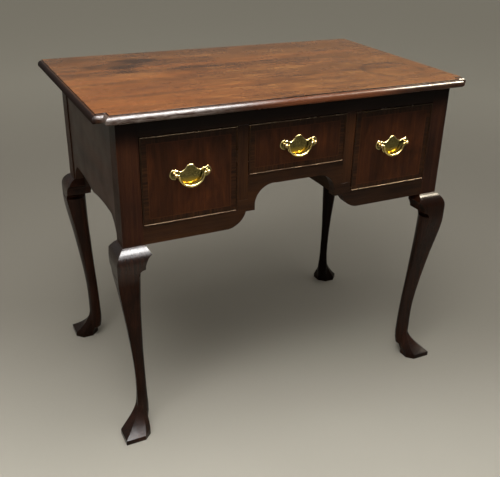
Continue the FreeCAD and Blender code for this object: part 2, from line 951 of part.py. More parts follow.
def make_cockbead(name, x0, x1, z0, z1):
    """The half-round bead let into the edge of the drawer front."""
    label = f"{name}_cockbead"
    body = doc.addObject("PartDesign::Body", label)
    thick = S.bead_thickness
    outer = rectangle(x0, z0, x1, z1)
    inner = rectangle(x0 + thick, z0 + thick, x1 - thick, z1 - thick)
    ring = pad(body, sketch_on(body, "XZ_Plane", outer, inner), S.bead_depth + S.bead_proud)
    doc.recompute()
    depth = -number(S.bead_depth + S.bead_proud)
    names = []
    for index, edge in enumerate(ring.Shape.Edges, start=1):
        if abs(edge.BoundBox.YMin - depth) < 1e-4 and abs(edge.BoundBox.YMax - depth) < 1e-4:
            names.append(f"Edge{index}")
    rounding = body.newObject("PartDesign::Fillet", label + "_rounding")
    rounding.Base = (ring, names)
    bind(rounding, "Radius", S.bead_thickness * BEAD_ROUND)
    place(body, y=front + S.bead_depth)
    return keep(label, body)


# ---------------------------------------------------------------- handles
def plate_outline():
    """Half of the bat-wing plate about its centre, from its lowest point to its peak.

    Each point is a share of the posts' distance across and of the wing, drop or peak up, and
    an arc's rise is in millimetres.
    """
    post = S.post_spacing / 2
    wing = S.wing_radius
    wing_centre = post + wing * 0.1
    return [
        (0, -S.plate_drop),
        (post * 0.52, -S.plate_drop * 0.80, -1.2),
        (post * 0.74, -wing * 0.95, -2.0),
        (post * 0.86, -wing * 0.72),
        (wing_centre, -wing, -1.6),
        (wing_centre, wing * 0.87, -wing * 0.8),
        (post * 0.90, wing * 0.62),
        (post * 0.74, wing * 0.62, -0.8),
        (post * 0.56, wing * 0.42, 0.9),
        (post * 0.24, S.plate_peak * 0.78, 1.2),
        (0, S.plate_peak, -0.9),
    ]


def post_profile(stem_end):
    """Half the section of a handle post about the bail's axis: a barrel head with its front
    bevelled, then a neck and a stem that ends at y = stem_end."""
    head = S.head_radius
    return [
        (0, -head),
        (head - S.head_bevel, -head),
        (head, S.head_bevel - head),
        (head, S.head_back),
        (S.neck_radius, S.head_back),
        (S.neck_radius, S.head_stand),
        (S.stem_radius, S.head_stand),
        (S.stem_radius, stem_end),
        (0, stem_end),
    ]


def make_handle(name, x, z):
    post = S.post_spacing / 2
    plate = shaped_board(
        f"{name}_plate_blank", "XZ_Plane", [mirrored(plate_outline())], S.plate_thickness,
        x=x, y=front, z=z)
    plate_face = front - S.plate_thickness
    head_y = plate_face - S.head_stand
    stem_back = front + S.front_thickness + S.nut_height + S.stem_tip
    holes, posts, nuts = [], [], []
    for label, sign in (("l", -1), ("r", 1)):
        at = x + post * sign
        turn = (Vector(1, 0, 0), 90)
        holes.append(cylinder(
            f"{name}_plate_hole_{label}", S.stem_radius + S.stem_clearance, 3 * S.plate_thickness,
            at, front + S.plate_thickness, z, turn=turn))
        blank = turned(f"{name}_post_blank_{label}", post_profile(stem_back - head_y), x=at, y=head_y, z=z)
        socket_start = at + S.head_radius - S.pin_socket if sign < 0 else at - S.head_radius - PAST
        socket = cylinder(
            f"{name}_socket_{label}", S.pin_radius + S.pin_clearance, S.pin_socket + PAST,
            socket_start, head_y, z, turn=(Vector(0, 1, 0), 90))
        posts.append(cut(f"{name}_post_{label}", blank, socket))
        nut = doc.addObject("Part::Prism", f"{name}_nut_blank_{label}")
        nut.Label = f"{name}_nut_blank_{label}"
        nut.Polygon = 6
        bind(nut, "Circumradius", S.nut_radius)
        bind(nut, "Height", S.nut_height)
        nut.Placement = FreeCAD.Placement(Vector(), FreeCAD.Rotation(Vector(1, 0, 0), 90))
        place(nut, at, front + S.front_thickness + S.nut_height, z)
        bore = cylinder(
            f"{name}_nut_bore_{label}", S.stem_radius, 3 * S.nut_height,
            at, front + S.front_thickness + 2 * S.nut_height, z, turn=turn)
        nuts.append(cut(f"{name}_nut_{label}", nut, bore))
    keep(f"{name}_plate", cut(f"{name}_plate", plate, *holes))
    keep(f"{name}_posts", group(f"{name}_posts", *posts))
    keep(f"{name}_nuts", group(f"{name}_nuts", *nuts))
    bail = keep(f"{name}_bail", solid(f"{name}_bail", bail_shape()))
    place(bail, x, head_y, z)


def ring(centre, along, radius):
    """A many-sided section across a bow that lies in the XZ plane."""
    side = Vector(0, 1, 0)
    up = along.cross(side)
    points = []
    for index in range(BAIL_SIDES):
        turn = 2 * math.pi * index / BAIL_SIDES
        points.append(centre + (side * math.cos(turn) + up * math.sin(turn)) * radius)
    return Part.makePolygon([*points, points[0]])


def bail_shape():
    """The swinging bail about its axis: two pins, two bends and a bow thickest at its middle."""
    half = number(S.bail_width) / 2
    drop = number(S.bail_drop)
    thin = number(S.bail_radius)
    thick = number(S.bail_middle_radius)
    pin = number(S.pin_radius)
    pin_end = number(S.post_spacing / 2 - S.head_radius + S.pin_socket - S.pin_end_gap)
    shoulder = PIN_ROOT * thin
    parts = []
    for sign in (-1, 1):
        parts.append(Part.makeCylinder(
            pin, pin_end - half + shoulder, Vector(sign * (half - shoulder), 0, 0), Vector(sign, 0, 0)))
    low = drop - thick
    right = [Vector(half * across, 0, -low * down) for across, down in BAIL_BENDS]
    left = [Vector(-point.x, 0, point.z) for point in right]
    path = Part.BSplineCurve()
    path.interpolate([
        Vector(-half, 0, 0), *left, Vector(0, 0, -low), *reversed(right), Vector(half, 0, 0)])
    rings = []
    for index in range(BAIL_RINGS):
        share = index / (BAIL_RINGS - 1)
        at = path.FirstParameter + (path.LastParameter - path.FirstParameter) * share
        radius = thin + (thick - thin) * math.sin(math.pi * share) ** BAIL_SWELL
        rings.append(ring(path.value(at), path.tangent(at)[0], radius))
    bow = Part.makeLoft(rings, True, True)
    return bow.fuse(parts).removeSplitter()


def make_drawers():
    side_handle = (side_blade + rail_floor) / 2 + S.side_handle_lift
    centre_handle = (centre_blade + rail_floor) / 2 + S.centre_handle_lift
    make_drawer("drawer_left", -post_inner, -divider_outer, side_blade, side_handle, SIDE_DRAWER_TAILS)
    make_drawer("drawer_centre", -centre_half, centre_half, centre_blade, centre_handle, CENTRE_DRAWER_TAILS)
    make_drawer("drawer_right", divider_outer, post_inner, side_blade, side_handle, SIDE_DRAWER_TAILS)


def check_and_write():
    """Stop at the first failed object, then write each piece to its file."""
    doc.recompute()
    for item in doc.Objects:
        if "Invalid" in item.State or "Error" in item.State:
            raise RuntimeError(f"{item.Label} failed: {item.State}")
    os.makedirs("parts", exist_ok=True)
    for label, item in pieces.items():
        shape = item.Shape
        if shape.isNull() or not shape.isValid() or not shape.Solids:
            raise RuntimeError(f"{label} has no valid solid")
        shape.exportStep(f"parts/{label}.step")
        print(f"{label}: {len(shape.Solids)} solid(s), {shape.Volume / 1000:.1f} cm3")
    print(len(pieces), "pieces written")


make_top()
make_apron()
make_front_frame()
make_case_sides()
make_drawer_guides()
make_glue_blocks()
make_legs()
make_drawers()
check_and_write()
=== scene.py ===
import math

import bmesh
import bpy
from mathutils import Matrix, Vector
from mathutils.geometry import tessellate_polygon


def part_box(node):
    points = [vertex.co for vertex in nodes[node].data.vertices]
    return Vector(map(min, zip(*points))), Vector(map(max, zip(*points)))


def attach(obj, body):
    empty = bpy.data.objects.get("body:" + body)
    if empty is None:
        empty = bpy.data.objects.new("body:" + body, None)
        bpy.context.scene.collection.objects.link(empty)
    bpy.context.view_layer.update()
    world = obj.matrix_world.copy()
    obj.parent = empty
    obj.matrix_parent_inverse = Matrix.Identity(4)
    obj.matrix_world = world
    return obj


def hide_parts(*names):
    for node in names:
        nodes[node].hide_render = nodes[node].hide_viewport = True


# The looks of a three-drawer mahogany lowboy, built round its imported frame.  Lengths are in metres
# unless a comment says mm: +X to the right, +Y to the back, +Z up, with the floor at z = 0.

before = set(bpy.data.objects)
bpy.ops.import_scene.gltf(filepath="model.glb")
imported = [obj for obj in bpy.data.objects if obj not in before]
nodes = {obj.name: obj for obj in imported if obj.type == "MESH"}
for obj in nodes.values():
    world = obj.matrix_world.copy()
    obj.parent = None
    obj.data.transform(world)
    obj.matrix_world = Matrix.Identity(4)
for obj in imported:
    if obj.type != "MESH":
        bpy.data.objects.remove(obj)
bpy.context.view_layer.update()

MM = 0.001
SIDES = ("left", "centre", "right")
TOP_LOW, TOP_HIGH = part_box("top_board")
# Heights of the case's lower edge and of the underside of its top.
CASE_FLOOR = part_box("apron")[0].z
CASE_TOP = TOP_LOW.z


def handle_height(side):
    """Height of the axis that a drawer's posts and bail share."""
    low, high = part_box(f"drawer_{side}_posts")
    return (low.z + high.z) / 2


# ---------------------------------------------------------------- camera
def make_camera():
    """The main view, from its lens, its place and the directions of its three axes."""
    data = bpy.data.cameras.new("camera")
    data.sensor_width = 36.0
    data.lens = 50.32
    data.shift_x = -0.0185
    data.shift_y = 0.0198
    data.clip_start = 0.05
    data.clip_end = 60.0
    camera = bpy.data.objects.new("camera", data)
    right = Vector((0.89654, -0.44229, 0.02419))
    up = Vector((0.17984, 0.41336, 0.89263))
    back = Vector((-0.40480, -0.79594, 0.45013))
    eye = Vector((-0.6627, -1.3650, 1.0337))
    turn = Matrix((right, up, back)).transposed()
    camera.matrix_world = Matrix.Translation(eye) @ turn.to_4x4()
    bpy.context.scene.collection.objects.link(camera)
    bpy.context.scene.camera = camera


# ---------------------------------------------------------------- materials
def tone(text):
    """A linear colour from a screen colour such as 8a5a33."""
    levels = []
    for index in (0, 2, 4):
        level = int(text[index:index + 2], 16) / 255
        levels.append(level / 12.92 if level <= 0.04045 else ((level + 0.055) / 1.055) ** 2.4)
    return (*levels, 1.0)


class Shader:
    """A material's node tree, with short calls for the nodes that the finishes share."""

    def __init__(self, name):
        self.material = bpy.data.materials.new(name)
        self.material.use_nodes = True
        self.tree = self.material.node_tree
        self.surface = self.tree.nodes["Principled BSDF"]
        self.place = self.add("ShaderNodeTexCoord").outputs["Object"]

    def add(self, kind, **values):
        node = self.tree.nodes.new(kind)
        for name, value in values.items():
            setattr(node, name, value)
        return node

    def set(self, socket, value):
        """Link an output to the socket, or set a constant on it."""
        if isinstance(value, bpy.types.NodeSocket):
            self.tree.links.new(value, socket)
        else:
            socket.default_value = value

    def stretch(self, scale, shift=(0, 0, 0)):
        """The object's own coordinates, scaled and shifted for a texture."""
        node = self.add("ShaderNodeMapping")
        self.set(node.inputs["Vector"], self.place)
        node.inputs["Scale"].default_value = scale
        node.inputs["Location"].default_value = shift
        return node.outputs["Vector"]

    def noise(self, vector, detail=3.0, roughness=0.55, distortion=0.0):
        """A cloudy level about 0.5."""
        node = self.add("ShaderNodeTexNoise")
        self.set(node.inputs["Vector"], vector)
        node.inputs["Scale"].default_value = 1.0
        node.inputs["Detail"].default_value = detail
        node.inputs["Roughness"].default_value = roughness
        node.inputs["Distortion"].default_value = distortion
        return node.outputs["Fac"]

    def ramp(self, value, stops):
        """A colour ramp from (place, screen colour) stops."""
        node = self.add("ShaderNodeValToRGB")
        self.set(node.inputs["Fac"], value)
        points = node.color_ramp.elements
        while len(points) < len(stops):
            points.new(0.5)
        for point, (at, text) in zip(points, stops):
            point.position = at
            point.color = tone(text)
        return node.outputs["Color"]

    def math(self, operation, *values):
        node = self.add("ShaderNodeMath", operation=operation)
        for socket, value in zip(node.inputs, values):
            self.set(socket, value)
        return node.outputs["Value"]

    def times(self, first, *others):
        """The product of some levels."""
        for other in others:
            first = self.math("MULTIPLY", first, other)
        return first

    def total(self, first, *others):
        """The sum of some layers, each a level and its share."""
        result = self.times(*first)
        for layer in others:
            result = self.math("ADD", result, self.times(*layer))
        return result

    def offset(self, level, other=0.5):
        """How far a level lies over another one, or over the middle of a noise."""
        return self.math("SUBTRACT", level, other)

    def span(self, value, low, high, start=0.0, end=1.0, smooth=False):
        """value from low..high to start..end, kept within them."""
        node = self.add("ShaderNodeMapRange")
        if smooth:
            node.interpolation_type = "SMOOTHSTEP"
        for name, item in (("Value", value), ("From Min", low), ("From Max", high),
                           ("To Min", start), ("To Max", end)):
            self.set(node.inputs[name], item)
        return node.outputs["Result"]

    def mix(self, share, first, second):
        """The first colour with a share of the second."""
        node = self.add("ShaderNodeMix", data_type="RGBA")
        colours = [socket for socket in node.inputs if socket.type == "RGBA"]
        self.set(node.inputs["Factor"], share)
        self.set(colours[0], first)
        self.set(colours[1], second)
        return next(socket for socket in node.outputs if socket.type == "RGBA")

    def cover(self, colour, share, text):
        """The colour with a share of a screen colour over it."""
        return self.mix(share, colour, tone(text))

    def axes(self, source=None):
        """The X, Y and Z of a vector, or of the object's own coordinates."""
        node = self.add("ShaderNodeSeparateXYZ")
        self.set(node.inputs[0], source or self.place)
        return node.outputs

    def bump(self, height, strength, distance):
        node = self.add("ShaderNodeBump")
        node.inputs["Strength"].default_value = strength
        node.inputs["Distance"].default_value = distance
        self.set(node.inputs["Height"], height)
        self.set(self.surface.inputs["Normal"], node.outputs["Normal"])

    def edges(self, radius):
        """1 along sharp edges and 0 on open faces."""
        bevel = self.add("ShaderNodeBevel", samples=4)
        bevel.inputs["Radius"].default_value = radius
        plain = self.add("ShaderNodeNewGeometry")
        product = self.add("ShaderNodeVectorMath", operation="DOT_PRODUCT")
        self.set(product.inputs[0], bevel.outputs["Normal"])
        self.set(product.inputs[1], plain.outputs["Normal"])
        return self.span(product.outputs["Value"], 0.98, 0.80)

    def reach(self, x, y, reach_x, reach_y):
        """0 at the middle of an oval on the XY plane and 1 on its edge."""
        across = self.axes()
        u = self.math("DIVIDE", self.offset(across["X"], x), reach_x)
        v = self.math("DIVIDE", self.offset(across["Y"], y), reach_y)
        return self.math("SQRT", self.total((u, u), (v, v)))

    def blot(self, x, y, reach_x, reach_y, wobble):
        """1 at the middle of an oval on the XY plane, fading to 0 at its uneven edge."""
        uneven = self.times(self.offset(wobble), 1.6)
        far = self.math("ADD", self.reach(x, y, reach_x, reach_y), uneven)
        return self.span(far, 0.45, 1.1, 1.0, 0.0, smooth=True)

    def ring(self, x, y, radius, wobble):
        """1 on a circle on the XY plane that is broken here and there, and 0 off it."""
        off = self.math("ABSOLUTE", self.offset(self.reach(x, y, radius, radius), 1.0))
        return self.times(self.span(off, 0.14, 0.04), self.span(wobble, 0.36, 0.48))


# ---------------------------------------------------------------- woods and brass
# Specular level of plain waxed wood.
PLAIN_SHINE = 0.08
# Specular level and roughness of the legs' posts, which are duller than their knees and feet.
POST_SHINE = 0.07
POST_SHEEN = (0.34, 0.48)
# Heights over which a leg's shine passes from its foot to its shin and from there to its knee, and
# how far from the case's lower edge its tones pass to those of its post.
FOOT_TO_SHIN = (0.060, 0.090)
SHIN_TO_KNEE = (CASE_FLOOR - 0.072, CASE_FLOOR - 0.042)
POST_FADE = 0.003
# Levels of a wood's figure that get its dark, middle and light tones.
WOOD_STEPS = (0.32, 0.5, 0.7)
# The same with their tones, for the top and for the field and crossband of the drawer fronts.
TOP_TONES = [(0.36, "3d2410"), (0.44, "5d381a"), (0.50, "744722"), (0.56, "8a572a"), (0.64, "a9753d")]
FIELD_TONES = [(0.34, "271408"), (0.46, "351b0b"), (0.56, "43220f"), (0.68, "552b12")]
BAND_TONES = [(0.34, "1f1107"), (0.52, "301b0d"), (0.70, "442712")]
# Half the width of the centre drawer.
CENTRE_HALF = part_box("drawer_centre_front")[1].x
# Width of the drawer fronts' crossband, and of the thin line along it.
BAND_WIDTH = 0.0138
LINE_WIDTH = 0.0006
# Heights over which the top's moulding passes to its flat, over which the ledge between them ends,
# and over which the step up to the flat ends.
EDGE_TO_FLAT = (TOP_HIGH.z - 0.0025, TOP_HIGH.z - 0.0010)
OVER_LEDGE = (TOP_HIGH.z - 0.0021, TOP_HIGH.z - 0.0019)
UNDER_FLAT = (TOP_HIGH.z - 0.00005, TOP_HIGH.z - 0.0001)
# Depths over which the wear of the front moulding sets in, and over which the step to the flat ends.
FRONT_WEAR = (TOP_LOW.y + 0.042, TOP_LOW.y + 0.012)
FRONT_STEP = (TOP_LOW.y + 0.0040, TOP_LOW.y + 0.0034)
# Where the moulding of the top's left end begins, and over how much it blends with the front's.
LEFT_END = TOP_LOW.x + 0.011
END_BLEND = 0.006
# Old marks on the top: middle, reach along x and y, and strength.
STAINS = [
    (-0.310, 0.128, 0.030, 0.018, 0.60),
    (-0.205, 0.160, 0.060, 0.034, 0.95),
    (-0.250, 0.110, 0.050, 0.030, 0.90),
    (-0.258, 0.066, 0.026, 0.014, 0.60),
    (-0.286, -0.022, 0.045, 0.010, 0.35),
    (-0.020, 0.030, 0.160, 0.060, 0.22),
    (-0.250, -0.125, 0.120, 0.012, 0.35),
    (0.240, -0.080, 0.110, 0.012, 0.30),
    (0.120, 0.100, 0.140, 0.012, 0.28),
]
# The middle and radius of the ring that a dish left on the top.
DISH_RING = (0.294, -0.107, 0.066)


def along(axis, length, width):
    """A mapping scale for a texture drawn out along the grain."""
    return tuple(length if name == axis else width for name in "XYZ")


class Grain:
    """A wood's figure as levels, drawn out along its grain: fine streaks and open pores."""

    def __init__(self, shader, axis, shift):
        self.shader = shader
        self.axis = axis
        self.shift = shift
        self.streaks = self.layer(9, 210, detail=6.0, roughness=0.66, distortion=0.6)
        self.pores = self.layer(55, 1500, detail=2.0)

    def layer(self, length, width, **values):
        """A noise with so many cells to a metre along the grain and across it."""
        return self.shader.noise(self.shader.stretch(along(self.axis, length, width), self.shift), **values)

    def bands(self):
        """Broad bands."""
        return self.layer(1.6, 24, detail=2.0, distortion=0.35)

    def mottle(self):
        """A cloudy mottle."""
        return self.layer(9, 6, detail=3.0, roughness=0.5)

    def fill_pores(self, colour, share, text):
        """The colour with the pores darkened."""
        return self.shader.cover(colour, self.shader.span(self.pores, 0.30, 0.42, share, 0.0), text)


def finish_wood(grain, colour, sheen, shine, depth):
    """Set the polish: colour, an uneven sheen, and a bump from the open pores."""
    shader = grain.shader
    surface = shader.surface
    shader.set(surface.inputs["Base Color"], colour)
    # Where shine varies, this stays on the socket for a model that can't carry a varying one.
    surface.inputs["Specular IOR Level"].default_value = PLAIN_SHINE
    shader.set(surface.inputs["Specular IOR Level"], shine)
    smudge = shader.noise(shader.stretch((14, 14, 14)), detail=4.0, roughness=0.6)
    shader.set(surface.inputs["Roughness"], shader.span(smudge, 0.3, 0.7, *sheen))
    height = shader.total((shader.span(grain.pores, 0.34, 0.44), 0.6), (grain.streaks, 0.5))
    shader.bump(height, 0.35, depth)


def wood(name, axis, tones, shift=(0, 0, 0), sheen=(0.30, 0.46), shine=PLAIN_SHINE, worn=None,
         upper=None, tint=None):
    """Polished wood: tones are its dark, middle and light colours, worn that of its edges, and upper
    a leg's tones above the case's lower edge.  A leg's shine is that of its foot, shin and knee."""
    shader = Shader(name)
    grain = Grain(shader, axis, shift)
    mottle = grain.mottle()
    level = shader.total((grain.bands(), 0.55), (grain.streaks, 0.45), (shader.offset(mottle), 0.35))
    colour = shader.ramp(level, list(zip(WOOD_STEPS, tones)))
    height = shader.axes()["Z"]
    if upper:
        above = shader.span(height, CASE_FLOOR - POST_FADE, CASE_FLOOR + POST_FADE)
        colour = shader.mix(above, colour, shader.ramp(level, list(zip(WOOD_STEPS, upper))))
        foot, shin, knee = shine
        shine = shader.span(height, *FOOT_TO_SHIN, foot, shin)
        shine = shader.span(height, *SHIN_TO_KNEE, shine, knee)
        shine = shader.span(above, 0.0, 1.0, shine, POST_SHINE)
        sheen = [shader.span(above, 0.0, 1.0, below, over) for below, over in zip(sheen, POST_SHEEN)]
    # Painted shadow: the polish is painted darker under the top's overhang, where its shadow falls.
    overhang_shadow = shader.span(height, CASE_TOP - 0.064, CASE_TOP - 0.016, 0.0, 0.92, smooth=True)
    colour = shader.cover(colour, overhang_shadow, "070302")
    colour = grain.fill_pores(colour, 0.55, tones[0])
    if worn:
        share = shader.times(shader.edges(0.0018), shader.span(mottle, 0.45, 0.70), 0.45)
        colour = shader.cover(colour, share, worn)
    if tint:
        shader.surface.inputs["Specular Tint"].default_value = tone(tint)
    finish_wood(grain, colour, sheen, shine, 0.0003)
    return shader.material


def top_figure(grain, place):
    """The flat top's faded colour: long grain, warm and dull streaks, and old marks."""
    shader = grain.shader
    flecks = shader.noise(shader.stretch((17, 230, 1), (0.7, 0.4, 0)), detail=5.0, roughness=0.66)
    cloud = shader.noise(shader.stretch((5, 11, 1), (2, 5, 0)), detail=5.0, roughness=0.62, distortion=0.8)
    level = shader.total((grain.bands(), 0.15), (grain.streaks, 0.30), (flecks, 0.55),
                         (shader.offset(cloud), 0.36))
    colour = shader.ramp(level, TOP_TONES)
    # Streaks of redder and of duller wood.
    ribbon = shader.noise(shader.stretch((1.1, 30, 1), (4, 2, 0)), detail=3.0, distortion=0.4)
    colour = shader.cover(colour, shader.span(ribbon, 0.52, 0.66, 0.0, 0.45), "a5602a")
    colour = shader.cover(colour, shader.span(ribbon, 0.46, 0.32, 0.0, 0.28), "5e3c1c")
    # The front left is redder, the right end duller and the back darker.
    warm = shader.times(shader.span(place["X"], 0.10, -0.35, smooth=True),
                        shader.span(place["Y"], 0.10, -0.15, smooth=True), 0.35)
    colour = shader.cover(colour, warm, "a8612a")
    colour = shader.cover(colour, shader.span(place["X"], -0.15, 0.40, 0.0, 0.35, smooth=True), "8a5e33")
    colour = shader.cover(colour, shader.span(place["Y"], 0.02, 0.24, 0.0, 0.45, smooth=True), "5f4228")
    # Old stains, and the faint ring of a dish.
    wobble = shader.noise(shader.stretch((9, 26, 1)), detail=4.0, roughness=0.6)
    for *oval, strength in STAINS:
        colour = shader.cover(colour, shader.times(shader.blot(*oval, wobble), strength), "38220f")
    colour = shader.cover(colour, shader.times(shader.ring(*DISH_RING, wobble), 0.50), "3a2616")
    return grain.fill_pores(colour, 0.45, "4a2813")


def top_wood(name):
    """The top's mahogany: a faded board in a darker moulding, which is handled and scuffed, with painted
    shade in its step and on its left end and a painted highlight on its left part.
    """
    shader = Shader(name)
    grain = Grain(shader, "X", (0.3, 0.1, 0))
    place = shader.axes()
    colour = top_figure(grain, place)
    # The moulding kept its old dark polish.
    edge = shader.span(place["Z"], *EDGE_TO_FLAT, 1.0, 0.0)
    colour = shader.cover(colour, shader.times(edge, 0.92), "28120a")
    # Hands have dulled the middle of the front moulding.
    front = shader.span(place["Y"], *FRONT_WEAR)
    handled = shader.times(shader.span(place["X"], -0.16, -0.02, smooth=True),
                           shader.span(place["X"], 0.26, 0.14, smooth=True), front)
    colour = shader.cover(colour, shader.times(handled, edge, 0.80), "7a482f")
    # The moulding of the left end is painted nearly black, as painted shade on the end that faces away from
    # the light.
    left_end = shader.span(place["X"], LEFT_END, LEFT_END - END_BLEND)
    dull = shader.times(left_end, edge)
    colour = shader.cover(colour, shader.times(dull, 0.8), "100806")
    lip = shader.span(shader.math("MAXIMUM", handled, left_end), 0.0, 1.0, 0.25, 0.06)
    # Painted shade: the step above the moulding is painted dark where shade falls in it, and shines less.
    over_ledge = shader.span(place["Z"], *OVER_LEDGE)
    riser = shader.times(over_ledge, shader.span(place["Z"], *UNDER_FLAT))
    step_shadow = shader.math("MAXIMUM", riser, shader.span(place["Y"], *FRONT_STEP))
    step_shadow = shader.times(step_shadow, over_ledge)
    lip = shader.times(lip, shader.span(step_shadow, 0.0, 1.0, 1.0, 0.1))
    colour = shader.cover(colour, shader.times(step_shadow, 0.85), "120906")
    shine = shader.mix(edge, (PLAIN_SHINE, PLAIN_SHINE, PLAIN_SHINE, 1.0), lip)
    # The left part of the front moulding is painted grey: partly scuffs, and partly a painted highlight
    # where the light shines on it.
    scuffs = shader.noise(shader.stretch((60, 420, 420), (3, 1, 2)), detail=4.0, roughness=0.65)
    scuffs_and_highlight = shader.times(shader.span(place["X"], -0.10, -0.24, smooth=True),
                           shader.span(place["X"], LEFT_END, LEFT_END + END_BLEND),
                           front, edge, shader.span(scuffs, 0.38, 0.64), 0.60)
    colour = shader.cover(colour, scuffs_and_highlight, "9a9088")
    sheen = (shader.span(dull, 0.0, 1.0, 0.22, 0.55), shader.span(dull, 0.0, 1.0, 0.34, 0.70))
    finish_wood(grain, colour, sheen, shine, 0.00025)
    return shader.material


def drawer_wood(name, node, shift):
    """A veneered front: an upright flame-figured field, a thin line and a crossband."""
    shader = Shader(name)
    low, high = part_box(node)
    place = shader.axes()
    # How far a point lies in from the nearest end, from the nearer long edge, and from the outline.
    side = shader.math("MINIMUM", shader.offset(place["X"], low.x), shader.offset(high.x, place["X"]))
    head = shader.math("MINIMUM", shader.offset(place["Z"], low.z), shader.offset(high.z, place["Z"]))
    inwards = shader.math("MINIMUM", side, head)
    band = shader.span(inwards, BAND_WIDTH, BAND_WIDTH - LINE_WIDTH)
    line = shader.math("COMPARE", inwards, BAND_WIDTH, LINE_WIDTH)
    upright = shader.math("LESS_THAN", side, head)

    grain = Grain(shader, "Z", shift)
    flame = shader.noise(shader.stretch((26, 26, 9), shift), detail=4.0, roughness=0.6, distortion=0.9)
    field = shader.ramp(shader.total((flame, 0.62), (grain.streaks, 0.38)), FIELD_TONES)
    cross_x = shader.noise(shader.stretch((9, 1, 260), shift), detail=4.0, roughness=0.6)
    cross_z = shader.noise(shader.stretch((260, 1, 9), shift), detail=4.0, roughness=0.6)
    banding = shader.ramp(shader.mix(upright, cross_z, cross_x), BAND_TONES)
    colour = shader.mix(band, field, banding)
    colour = shader.cover(colour, shader.times(line, 0.30), "6a3a1c")
    colour = grain.fill_pores(colour, 0.4, "140906")
    # Painted shadow: the front is painted darker under the top's overhang, where its shadow falls.
    overhang_shadow = shader.span(place["Z"], CASE_TOP - 0.095, CASE_TOP - 0.034, 0.0, 0.65, smooth=True)
    colour = shader.cover(colour, overhang_shadow, "0a0503")
    finish_wood(grain, colour, (0.28, 0.42), PLAIN_SHINE, 0.0002)
    return shader.material


def brass(name, colour, low, high, aged_and_painted_tones=None):
    """Old lacquered brass, cloudy where it was handled.  colour is its bright and dull tone.  The last
    argument gives a plate's flat face its light and dark tones, aged and partly a painted dark reflection,
    and its lower part a painted highlight tone."""
    shader = Shader(name)
    surface = shader.surface
    surface.inputs["Metallic"].default_value = 1.0
    cloud = shader.noise(shader.stretch((90, 90, 90)), detail=5.0, roughness=0.6)
    fine = shader.noise(shader.stretch((700, 700, 700)), detail=3.0)
    bright, dull = colour
    shown = shader.ramp(cloud, [(0.34, dull), (0.58, bright)])
    if aged_and_painted_tones:
        # The flat face is painted darker, partly aged brass that shows its chasing and partly a painted
        # dark reflection; the rim keeps the bright brass.
        light, dark, painted_highlight_tone = aged_and_painted_tones
        normal = shader.axes(shader.add("ShaderNodeNewGeometry").outputs["True Normal"])["Y"]
        flat = shader.span(shader.math("ABSOLUTE", normal), 0.90, 0.98)
        chased = shader.noise(shader.stretch((420, 420, 420)), detail=3.0, distortion=1.5)
        worn = shader.ramp(chased, [(0.40, dark), (0.56, light)])
        # Painted highlight: the lower part, behind the bail, is painted bright yellow.
        place = shader.axes()
        middle = shader.math("LESS_THAN", shader.math("ABSOLUTE", place["X"]), CENTRE_HALF)
        axis = shader.span(middle, 0.0, 1.0, handle_height("left"), handle_height("centre"))
        below = shader.span(shader.offset(place["Z"], axis), -0.006, -0.017, smooth=True)
        worn = shader.cover(worn, below, painted_highlight_tone)
        shown = shader.mix(flat, shown, worn)
    shader.set(surface.inputs["Base Color"], shown)
    shader.set(surface.inputs["Roughness"], shader.span(cloud, 0.3, 0.7, high, low))
    shader.bump(shader.math("ADD", cloud, shader.times(fine, 0.4)), 0.25, 0.0002)
    return shader.material


# Dark, middle and light tones of the woods.
UPRIGHT_TONES = ("1c0f07", "38200f", "543018")
RAIL_TONES = ("170c06", "2d1a0d", "432713")
SIDE_TONES = ("1d110a", "2f1b10", "40261a")
POST_TONES = ("1b0e08", "341b0f", "4d2b18")
LEG_TONES = ("120905", "22120a", "381e12")
# The back right leg's tones are painted darker, as painted shade under the table.
PAINTED_SHADE_LEG_TONES = ("0b0503", "140a06", "22120a")
# The partitions' tones are dark, partly real stain and partly painted shade inside the kneehole.
STAIN_AND_SHADOW_TONES = ("1c1209", "2c1d0f", "3d2a17")
AGED_TONES = ("3a2817", "523c25", "6b5134")
OAK_TONES = ("6d4c2c", "8d6a42", "a98658")
BROWN_OAK_TONES = ("5d4026", "7c5b38", "97764e")
# Colours of edges that have been rubbed, and the roughness of bare oak.
WORN_EDGE = "5e331a"
WORN_LEG_EDGE = "4a2614"
OAK_SHEEN = (0.6, 0.75)
# Each leg's tones, those of its post, and the shine of its foot, shin and knee.
LEGS = {
    "front_left": (LEG_TONES, POST_TONES, (0.15, 0.05, 0.32)),
    "front_right": (LEG_TONES, POST_TONES, (0.12, 0.18, 0.07)),
    "back_left": (LEG_TONES, SIDE_TONES, (0.10, 0.07, 0.10)),
    "back_right": (PAINTED_SHADE_LEG_TONES, SIDE_TONES, (0.05, 0.04, 0.05)),
}


